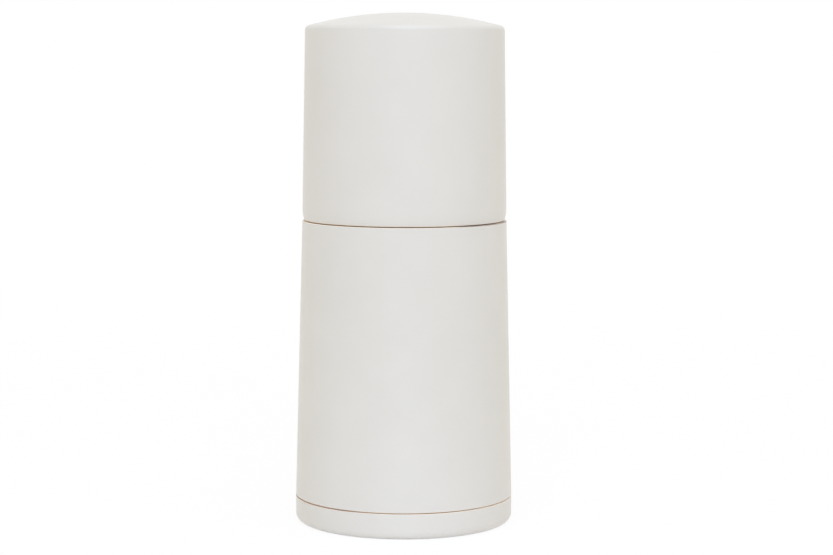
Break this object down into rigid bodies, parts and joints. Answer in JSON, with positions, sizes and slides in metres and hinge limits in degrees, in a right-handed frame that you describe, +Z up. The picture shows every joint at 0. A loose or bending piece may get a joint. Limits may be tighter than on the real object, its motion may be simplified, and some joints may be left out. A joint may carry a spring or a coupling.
{
  "type": "spice mill",
  "caption": "Tapered twist mill for hard spices: a domed handle turns on the neck and drags a sprung claw plate over an etched blade above a press-on base cap.",
  "frame": {"origin": "middle of the face that the mill stands on", "axes": "+Z is up along the mill's axis, and -Y is the front, the side that the picture shows"},
  "size_m": [0.058, 0.058, 0.1358],
  "materials": {
    "shell_plastic": "fine even texture, warm light grey",
    "inner_plastic": "satin, warm off-white",
    "bearing_plastic": "slippery, satin",
    "silicone": "soft, matt",
    "blade_steel": "etched, satin",
    "spring_steel": "drawn wire, bright",
    "screw_steel": "plain stainless"
  },
  "bodies": {
    "base": {"base_cap": "shell_plastic", "cap_liner": "inner_plastic", "cap_seal": "silicone"},
    "mill_body": {"body_shell": "shell_plastic", "chamber_sleeve": "inner_plastic", "blade_disc": "blade_steel", "blade_ring": "inner_plastic", "ring_screws": "screw_steel", "thrust_washer": "bearing_plastic", "neck_clip": "spring_steel"},
    "drive_ring": {"bearing_ring": "bearing_plastic", "grip_ring": "silicone"},
    "handle": {"handle_shell": "shell_plastic", "handle_core": "inner_plastic", "core_screws": "screw_steel", "spring_cap": "inner_plastic", "pressure_spring": "spring_steel"},
    "pusher": {"pusher_tube": "bearing_plastic", "pusher_foot": "inner_plastic", "claw_plate": "blade_steel", "claw_screw": "screw_steel"}
  },
  "joints": [
    {"name": "mill_lift", "type": "slide", "parent": "base", "child": "mill_body", "axis": [0, 0, 1], "range_m": [0, 0.04]},
    {"name": "handle_turn", "type": "hinge", "parent": "mill_body", "child": "drive_ring", "pos_m": [0, 0, 0], "axis": [0, 0, 1], "continuous": true},
    {"name": "handle_lift", "type": "slide", "parent": "drive_ring", "child": "handle", "axis": [0, 0, 1], "range_m": [0, 0.1]},
    {"name": "pusher_press", "type": "slide", "parent": "handle", "child": "pusher", "axis": [0, 0, 1], "range_m": [0, 0.034], "stiffness_N_per_m": 120, "springref_m": -0.03, "deforming": ["pressure_spring"]}
  ]
}
